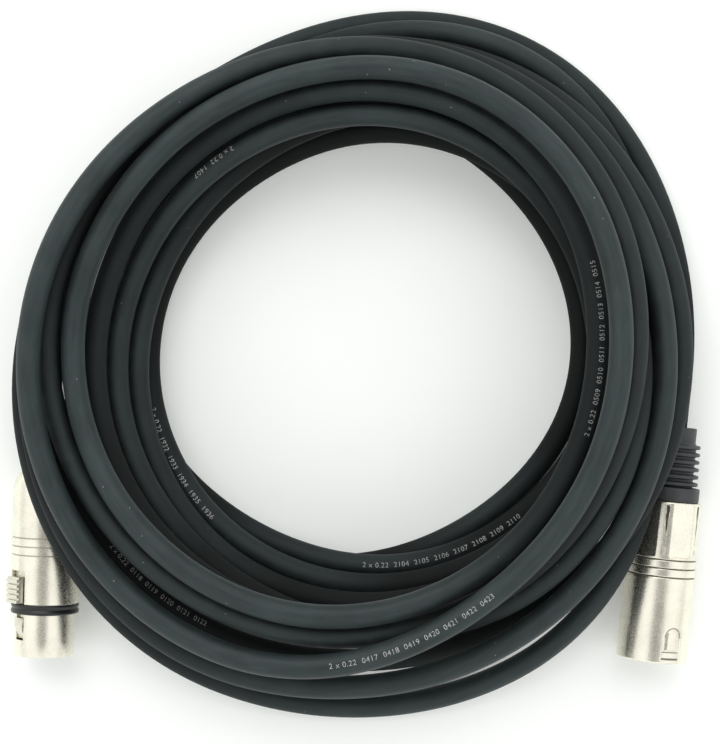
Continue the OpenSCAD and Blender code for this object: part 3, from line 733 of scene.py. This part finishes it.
def boot(key, collar_d, colour):
    piece = turned(key + "_boot_moulded", boot_outline(collar_d), seat(key), 112)
    piece.data.materials.append(rubber_paint(key + "_boot_rubber", colour, 0.5))
    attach(piece, "cable")
    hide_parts(key + "_boot")
    return piece


def face_outwards(piece):
    """Turn every face of a closed piece to the outside."""
    bm = bmesh.new()
    bm.from_mesh(piece.data)
    bmesh.ops.recalc_face_normals(bm, faces=bm.faces)
    bm.to_mesh(piece.data)
    bm.free()


# Stores the painted shade of a shell's recesses, from 0 to 1.
def set_recess_shade(piece, values):
    piece.data.attributes.new("recess_shade", "FLOAT", "POINT").data.foreach_set("value", values)


def step_between(low, high, x):
    """Smooth step from 0 at low to 1 at high, also where high is the smaller one."""
    t = np.clip((x - low) / (high - low), 0, 1)
    return t * t * (3 - 2 * t)


def arch(u, z, width, start, end):
    """Distance inside an arch-topped outline of that width from z = start to end, negative outside."""
    half = width / 2
    straight = np.minimum(half - np.abs(u), np.where(z < end - half, half - np.abs(u), 9))
    dome = half - np.hypot(u, np.maximum(z - (end - half), 0))
    return np.minimum(np.minimum(straight, dome), z - start)


def male_shell_grid():
    """Shell of the male connector, in mm: the closed outline (radius, z) is carried round the axis, and
    the outer radius drops by the depth of flats, slits and the arched panel where their outlines lie on it.
    It also gives painted shade: darker in the slits, pits, grip grooves and along the mark, where shade
    falls."""
    outer, length = MALE["d"] / MM / 2, MALE["len"] / MM
    cavity, depth = 16.5 / 2, 16
    edge = 0.35
    z = np.concatenate([np.arange(edge, 14.9, 0.22), np.arange(14.9, 20.3, 0.1),
                        np.arange(20.4, length - 12, 0.6), np.arange(length - 12, length - edge, 0.2)])
    r = np.full(len(z), outer)
    for groove in MALE_GROOVES:
        r -= 0.38 * np.exp(-((z - groove - 0.2) / 0.17) ** 4)
    head = [(6.42, 0.3), (6.7, 0.0), (outer - edge, 0), (outer - 0.1, 0.1)]
    tail = [(outer - 0.1, length - 0.1), (outer - edge, length), (cavity + 0.4, length),
            (cavity + 0.1, length - 0.15), (cavity, length - 0.5), (cavity, length - 8),
            (cavity, length - depth), (7.6, length - depth - 0.02), (7.6, 8.0), (6.42, 7.98), (6.42, 4)]
    outline = np.array(head + list(zip(r, z)) + tail)
    segments = 256
    angle = TAU * np.arange(segments) / segments
    radius = np.repeat(outline[:, :1], segments, axis=1)
    height = np.repeat(outline[:, 1:], segments, axis=1)
    skin = np.zeros(len(outline), bool)
    skin[2:len(head) + len(z) + 2] = True
    flats = 6
    relief = np.zeros_like(radius)
    # Painted shade: darker in the slits, pits, grip grooves and along the mark's edge and bars, where shade
    # falls.
    recess_shade = np.zeros_like(radius)
    for k in range(flats):
        off = (angle - math.radians(91 + 60 * k) + math.pi) % TAU - math.pi
        facing = np.abs(off) < 1.2
        u = np.where(facing, outer * np.sin(off), 9)
        inside = np.minimum(3.15 - np.abs(u)[None, :], 14.6 - height)
        plane = np.where(facing, (outer - 0.5) / np.maximum(np.cos(off), 0.3), outer)
        relief = np.maximum(relief, np.maximum(outer - plane[None, :], 0) * step_between(-0.02, 0.14, inside))
    for k in range(flats):
        off = (angle - math.radians(120 + 60 * k) + math.pi) % TAU - math.pi
        u = np.abs(outer * off)[None, :]
        slit = 0.55 - 0.42 * np.clip(height / 9, 0, 1) - u
        slit = np.minimum(slit, np.minimum(height - 0.7, 11 - height))
        pit = 0.75 - np.hypot(u, (height - 13.1) * 0.6)
        relief = np.maximum(relief, 0.3 * step_between(0, 0.2, slit) + 0.08 * step_between(0, 0.5, pit))
        recess_shade = np.maximum(recess_shade, step_between(-0.05, 0.15, slit))
        recess_shade = np.maximum(recess_shade, 0.25 * step_between(0, 0.5, pit))
    off = (angle - math.pi / 2 + math.pi) % TAU - math.pi
    u = (outer * off)[None, :]
    front = length - height
    mark = arch(u + 0.35, front, 5.0, 3.0, 9.8)
    bars = [0.22 - np.abs(front - 1.4), 0.12 - np.abs(front - 3.2)]
    relief = np.maximum(relief, 0.25 * step_between(0, 0.2, mark) * step_between(1.0, 0.3, mark))
    recess_shade = np.maximum(recess_shade, step_between(0, 0.12, mark) * step_between(0.42, 0.2, mark)
                      * step_between(6.6, 7.6, front))
    for bar in bars:
        bar = np.minimum(bar, 2.6 - np.abs(u))
        relief = np.maximum(relief, 0.25 * step_between(-0.1, 0.1, bar))
        recess_shade = np.maximum(recess_shade, step_between(-0.1, 0.1, bar))
    for groove in MALE_GROOVES:
        recess_shade = np.maximum(recess_shade, 0.85 * step_between(0.24, 0.1, np.abs(height - groove - 0.2)))
    radius = np.where(skin[:, None], radius - relief, radius)
    recess_shade = np.where(skin[:, None], recess_shade, 0)
    grid = np.stack([radius * np.cos(angle), radius * np.sin(angle), height], axis=-1) * MM
    return grid, grid_faces(len(outline), segments, True, True), recess_shade


def female_shell_grid():
    """Shell of the female connector, in mm: the closed outline (radius, z) is carried round the axis.

    Columns near the latch stand at fixed distances x from the middle plane, at asin(x / radius) from it,
    so that the window and the slot can be left out between two columns and closed by plane walls.
    """
    outer, length = FEMALE["d"] / MM / 2, FEMALE["len"] / MM
    rear_bore, body_bore, nose_bore, ring_seat, nose = 6.4, 7.9, 6.9, 7.4, 8
    chamber_z, window_z, shoulder_z, ring_end_z, slot_end_z = 8, 25.9, 34.8, 37.5, 44.5
    groove_depth = 0.25
    bend = np.linspace(0, math.pi / 2, 12)
    rear = [(rear_bore, 0), (6.8, 0)] + list(zip(outer - 2.2 * (1 - np.sin(bend)), 6 * (1 - np.cos(bend))))
    body = [(outer, 10), (outer, 14)]
    for groove in FEMALE_GROOVES:
        body += [(outer, groove), (outer - groove_depth, groove + 0.08), (outer - groove_depth, groove + 0.3),
                 (outer, groove + 0.38)]
    body += [(outer, window_z), (outer, 30), (outer, 34), (outer, shoulder_z - 0.15),
             (outer - 0.15, shoulder_z)]
    front = [(ring_seat, shoulder_z), (ring_seat, ring_end_z), (nose - 0.15, ring_end_z),
             (nose, ring_end_z + 0.15), (nose, 41), (nose, slot_end_z), (nose, length - 0.35),
             (nose - 0.1, length - 0.1), (nose - 0.35, length), (7.1, length), (nose_bore, length - 0.25)]
    inside = [(nose_bore, slot_end_z), (nose_bore, ring_end_z), (nose_bore, shoulder_z), (nose_bore, 34),
              (body_bore, 34), (body_bore, window_z), (body_bore, chamber_z), (rear_bore, chamber_z),
              (rear_bore, 4)]
    outline = np.array(rear + body + front + inside)
    row = {point: i for i, point in enumerate(map(tuple, outline.round(3).tolist()))}
    x = np.array([-3, -2.6, -2.1, -1.6, -1.1, -0.55, 0, 0.55, 1.1, 1.6, 2.1, 2.6, 3])
    segments = 180
    r = outline[:, :1]
    near = np.arcsin(x[None, :] / r)
    rest = np.linspace(0, 1, segments + 2)[1:-1]
    around = near[:, -1:] + rest[None, :] * (TAU - 2 * near[:, -1:])
    angle = np.concatenate([near, around], axis=1)
    grid = np.stack([r * np.sin(angle), r * np.cos(angle), np.repeat(outline[:, 1:], angle.shape[1], 1)], -1)
    cols = angle.shape[1]
    faces = grid_faces(len(outline), cols, True, True).reshape(len(outline), cols, 4)
    keep = np.ones((len(outline), cols), bool)
    slot = (slice(row[(ring_seat, shoulder_z)], row[(nose, slot_end_z)]), slice(3, 9))
    slot_in = (slice(row[(nose_bore, slot_end_z)], row[(nose_bore, shoulder_z)]), slice(3, 9))
    window_out = (slice(row[(outer, window_z)], row[(ring_seat, shoulder_z)]), slice(0, 12))
    window_in = (slice(row[(nose_bore, shoulder_z)], row[(body_bore, window_z)]), slice(0, 12))
    for hole in (slot, slot_in, window_out, window_in):
        keep[hole] = False
    walls = []
    window = ((outer, window_z), (ring_seat, shoulder_z), (nose_bore, shoulder_z), (body_bore, window_z))
    hook = ((ring_seat, shoulder_z), (nose, slot_end_z), (nose_bore, slot_end_z), (nose_bore, shoulder_z))
    for column, side, (first, last, back, end) in (
            (0, 1, window), (12, -1, window), (3, 1, hook), (9, -1, hook)):
        rows = list(range(row[first], row[last] + 1)) + list(range(row[back], row[end] + 1))
        walls.append([i * cols + column for i in rows][::side])
    for top, bottom, columns, side in (
            ((outer, window_z), (body_bore, window_z), range(0, 12), 1),
            ((ring_seat, shoulder_z), (nose_bore, shoulder_z), [0, 1, 2, 9, 10, 11], -1),
            ((nose, slot_end_z), (nose_bore, slot_end_z), range(3, 9), -1)):
        a, b = row[top] * cols, row[bottom] * cols
        walls += [[a + k, b + k, b + k + 1, a + k + 1][::side] for k in columns]
    # Painted shade: the grip grooves are coloured darker, standing in for the shade in them.
    recess_shade = np.zeros((len(outline), cols))
    recess_shade[(np.abs(outline[:, 0] - outer + groove_depth) < 0.01) & (outline[:, 1] > 16)] = 0.45
    return grid * MM, faces[keep], walls, recess_shade


class CABLE_OT_male(bpy.types.Operator):
    """Make the male connector's shell and boot"""
    bl_idname = "mic_cable.male_connector"
    bl_label = "Male connector"

    def execute(self, context):
        look = context.scene.mic_cable_connector
        grid, faces, recess_shade = male_shell_grid()
        shell = make_piece("male_shell_turned", grid, turned_outwards(grid, faces), seat("male"), sharp=50)
        set_recess_shade(shell, recess_shade.ravel())
        shell.data.materials.append(metal_paint("male_nickel", look.metal, look.metal_roughness))
        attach(shell, "cable")
        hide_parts("male_shell")
        boot("male", 16.4, look.boot)
        return {"FINISHED"}


class CABLE_OT_female(bpy.types.Operator):
    """Make the female connector's shell, rubber ring, latch and boot"""
    bl_idname = "mic_cable.female_connector"
    bl_label = "Female connector"

    def execute(self, context):
        look = context.scene.mic_cable_connector
        place = seat("female")
        grid, faces, walls, recess_shade = female_shell_grid()
        shell = make_piece("female_shell_turned", grid, faces.tolist() + walls, place, sharp=35)
        face_outwards(shell)
        set_recess_shade(shell, recess_shade.ravel())
        shell.data.materials.append(metal_paint("female_nickel", look.metal, look.metal_roughness))
        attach(shell, "cable")
        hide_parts("female_shell")
        lever = copy_of("latch_lever", "latch_lever_pressed", place)
        bevel_edges(lever, 0.16 * MM)
        worn = scaled(look.metal, 0.86)
        lever.data.materials.append(metal_paint("latch_nickel", worn, look.metal_roughness + 0.04))
        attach(lever, "latch")
        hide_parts("latch_lever")
        spring = copy_of("latch_spring", "leaf_spring_bent", place)
        spring.data.materials.append(metal_paint("spring_steel", (0.62, 0.61, 0.6), 0.28))
        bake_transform(spring)
        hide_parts("latch_spring")
        z0, z1 = 34.8, 37.5
        lips = [(7.4, z0), (9.0, z0), (9.15, z0 + 0.45), (9.0, z0 + 0.95), (8.72, z0 + 1.35),
                (9.0, z0 + 1.75), (9.15, z1 - 0.45), (9.0, z1), (7.4, z1)]
        ring = turned("rubber_ring", rounded(np.array(lips) * MM, 0.25 * MM), place, 112)
        ring.data.materials.append(rubber_paint("ring_rubber", scaled(look.boot, 0.3), 0.36))
        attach(ring, "cable")
        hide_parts("female_ring")
        boot("female", 13.6, look.boot)
        return {"FINISHED"}


def bevel_edges(piece, width):
    """Small rounded edges where faces meet at more than 40 degrees."""
    bevel = piece.modifiers.new("edges", "BEVEL")
    bevel.width = width
    bevel.segments = 2
    bevel.limit_method = "ANGLE"
    bevel.angle_limit = math.radians(40)
    bevel.use_clamp_overlap = True


class CABLE_OT_inner(bpy.types.Operator):
    """Give each solid that stays its own finish"""
    bl_idname = "mic_cable.inner_parts"
    bl_label = "Inner parts"

    def execute(self, context):
        look = context.scene.mic_cable_connector
        nylon = rubber_paint("insert_nylon", look.insert, 0.38, source="object")
        silver = metal_paint("contact_silver", look.contact, 0.24, source="object")
        bronze = metal_paint("strip_bronze", (0.78, 0.64, 0.4), 0.3, source="object")
        clamp = rubber_paint("chuck_nylon", (0.24, 0.24, 0.25), 0.45, source="object")
        finishes = {
            "insert": nylon, "pin_1": silver, "pin_2": silver, "pin_3": silver,
            "socket_1": silver, "socket_2": silver, "socket_3": silver,
            "ground_contact": bronze, "chuck": clamp,
            "red_wire": wire_paint("red_insulation", (0.5, 0.03, 0.03)),
            "white_wire": wire_paint("white_insulation", (0.78, 0.78, 0.75)),
            "screen_wire": wire_paint("bare_copper", (0.72, 0.42, 0.27), 1.0),
            "latch_pin": metal_paint("pin_steel", (0.62, 0.61, 0.6), 0.28, source="object"),
        }
        for name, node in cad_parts.items():
            finish = finishes.get(name, finishes.get(name.split("_", 1)[1]))
            if finish:
                node.data.materials.clear()
                node.data.materials.append(finish)
        return {"FINISHED"}


class CABLE_OT_cord(bpy.types.Operator):
    """Find the point of the route where the cable leaves the female boot, and gather the male end's pieces
    and the print
    """
    bl_idname = "mic_cable.cord_facts"
    bl_label = "Cord facts"

    def execute(self, context):
        exit_point = LEADS["female"][1]
        out = np.linalg.norm(ROUTE - exit_point, axis=1).argmin()
        on_it = [bpy.data.objects["male_shell_turned"], bpy.data.objects["male_boot_moulded"],
                 bpy.data.objects["jacket_print"]]
        on_it += [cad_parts[name] for name in (
            "male_insert", "male_pin_1", "male_pin_2", "male_pin_3", "male_ground_contact",
            "male_chuck", "male_red_wire", "male_white_wire", "male_screen_wire")]
        return {"FINISHED"}


class CABLE_OT_stage(bpy.types.Operator):
    """Make the floor, the soft lamp and the surroundings"""
    bl_idname = "mic_cable.stage"
    bl_label = "Stage"

    def execute(self, context):
        stage = context.scene.mic_cable_stage
        side = 2.5
        floor = make_piece("floor", np.array([[-side, -side, 0], [side, -side, 0], [side, side, 0],
                                              [-side, side, 0]]), np.array([[0, 1, 2, 3]]))
        p = Paint("floor_paper")
        fibre = p.noise(30 * MM, 2)
        tone = p.mix(fibre.between(0.4, 0.6), stage.floor, scaled(stage.floor, 1.01))
        p.set(base_color=tone, roughness=0.9, specular_ior_level=0.1)
        seen = p.node("ShaderNodeLightPath")
        glow = p.node("ShaderNodeEmission", None, {"Color": (1, 1, 1)})
        straight = Value(p, seen.outputs["Is Camera Ray"]) + Value(p, seen.outputs["Is Glossy Ray"])
        p.put(glow.inputs["Strength"], straight * stage.lift)
        both = p.node("ShaderNodeAddShader")
        p.tree.links.new(p.shader.outputs[0], both.inputs[0])
        p.tree.links.new(glow.outputs[0], both.inputs[1])
        p.tree.links.new(both.outputs[0], p.tree.nodes["Material Output"].inputs["Surface"])
        floor.data.materials.append(p.material)
        lamp = bpy.data.lights.new("soft_lamp", "AREA")
        lamp.energy = stage.lamp
        lamp.size = stage.lamp_size
        item = bpy.data.objects.new("soft_lamp", lamp)
        item.location = (-0.2, 0.75, 0.9)
        item.rotation_euler = (-math.atan2(0.75, 0.9), -math.atan2(0.2, 1.17), 0)
        context.scene.collection.objects.link(item)
        world_light(context, stage.sky)
        context.scene.view_settings.view_transform = "Standard"
        return {"FINISHED"}


def world_light(context, strength):
    """Brightest from above, dimmer at the horizon, and dark straight overhead, where the camera is held.

    The strength depends on the sine of the direction's elevation.
    """
    world = bpy.data.worlds.new("surroundings")
    context.scene.world = world
    world.use_nodes = True
    tree = world.node_tree
    back = tree.nodes["Background"]
    place = tree.nodes.new("ShaderNodeTexCoord")
    axes = tree.nodes.new("ShaderNodeSeparateXYZ")
    fade = tree.nodes.new("ShaderNodeValToRGB")
    level = tree.nodes.new("ShaderNodeMath")
    level.operation = "MULTIPLY"
    level.inputs[1].default_value = strength
    path = tree.nodes.new("ShaderNodeLightPath")
    white = tree.nodes.new("ShaderNodeMix")
    white.data_type = "FLOAT"
    ramp = fade.color_ramp
    ramp.interpolation = "EASE"
    while len(ramp.elements) < 5:
        ramp.elements.new(0.5)
    for element, (height, shade) in zip(ramp.elements, (
            (0, 0.7), (0.2, 0.8), (0.5, 1.0), (0.9, 1.0), (0.975, 0.25))):
        element.position = height
        element.color = (shade, shade, shade, 1)
    tree.links.new(place.outputs["Generated"], axes.inputs[0])
    tree.links.new(axes.outputs["Z"], fade.inputs[0])
    tree.links.new(fade.outputs[0], level.inputs[0])
    tree.links.new(path.outputs["Is Camera Ray"], white.inputs[0])
    tree.links.new(level.outputs[0], white.inputs[2])
    white.inputs[3].default_value = 1
    tree.links.new(white.outputs[0], back.inputs["Strength"])
    back.inputs["Color"].default_value = (1, 1, 1, 1)


class CABLE_PT_panel(bpy.types.Panel):
    """Sizes, colours and steps of the microphone cable"""
    bl_label = "Microphone cable"
    bl_idname = "CABLE_PT_panel"
    bl_space_type = "VIEW_3D"
    bl_region_type = "UI"
    bl_category = "Cable"

    def draw(self, context):
        for name in ("cable", "connector", "stage"):
            box = self.layout.box()
            group = getattr(context.scene, "mic_cable_" + name)
            for prop in group.__annotations__:
                box.prop(group, prop)
        for step in STEPS:
            self.layout.operator(step.bl_idname)


STEPS = (CABLE_OT_camera, CABLE_OT_cable, CABLE_OT_print, CABLE_OT_male, CABLE_OT_female,
         CABLE_OT_inner, CABLE_OT_cord, CABLE_OT_stage)
GROUPS = {"cable": CableSettings, "connector": ConnectorSettings, "stage": StageSettings}


def register():
    for item in (*GROUPS.values(), *STEPS, CABLE_PT_panel):
        bpy.utils.register_class(item)
    for name, group in GROUPS.items():
        setattr(bpy.types.Scene, "mic_cable_" + name, PointerProperty(type=group))


def unregister():
    for name in GROUPS:
        delattr(bpy.types.Scene, "mic_cable_" + name)
    for item in (CABLE_PT_panel, *reversed(STEPS), *GROUPS.values()):
        bpy.utils.unregister_class(item)


def main():
    register()
    for step in STEPS:
        group, name = step.bl_idname.split(".")
        getattr(getattr(bpy.ops, group), name)()


if __name__ == "__main__":
    main()
